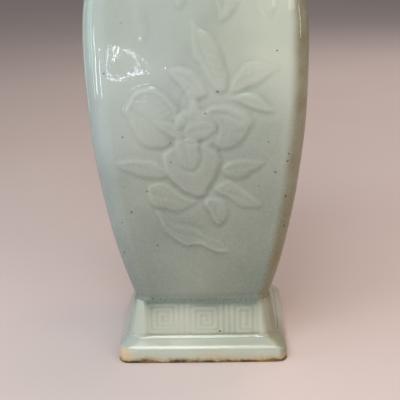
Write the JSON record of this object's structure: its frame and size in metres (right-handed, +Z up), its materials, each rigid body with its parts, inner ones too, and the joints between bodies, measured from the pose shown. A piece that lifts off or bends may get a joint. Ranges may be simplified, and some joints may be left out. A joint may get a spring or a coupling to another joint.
{
  "type": "square hu vase",
  "caption": "Square-section hu vase with a swelling belly, low moulded relief, a fret-banded foot on a stepped plinth and an open flared mouth.",
  "frame": {"origin": "centre of the foot ring's rest face, on the surface the vase stands on", "axes": "+Z up through the mouth, -Y out of the front face, +X to the right seen from the front"},
  "size_m": [0.122, 0.124, 0.302],
  "materials": {
    "celadon_glaze": "gloss"
  },
  "bodies": {
    "root": {"foot_front_wall": "celadon_glaze", "foot_right_wall": "celadon_glaze", "foot_back_wall": "celadon_glaze", "foot_left_wall": "celadon_glaze", "floor_slab": "celadon_glaze", "belly_front_wall": "celadon_glaze", "belly_right_wall": "celadon_glaze", "belly_back_wall": "celadon_glaze", "belly_left_wall": "celadon_glaze", "neck_front_wall": "celadon_glaze", "neck_right_wall": "celadon_glaze", "neck_back_wall": "celadon_glaze", "neck_left_wall": "celadon_glaze", "mouth_rim": "celadon_glaze", "left_lug": "celadon_glaze", "right_lug": "celadon_glaze"}
  },
  "joints": []
}
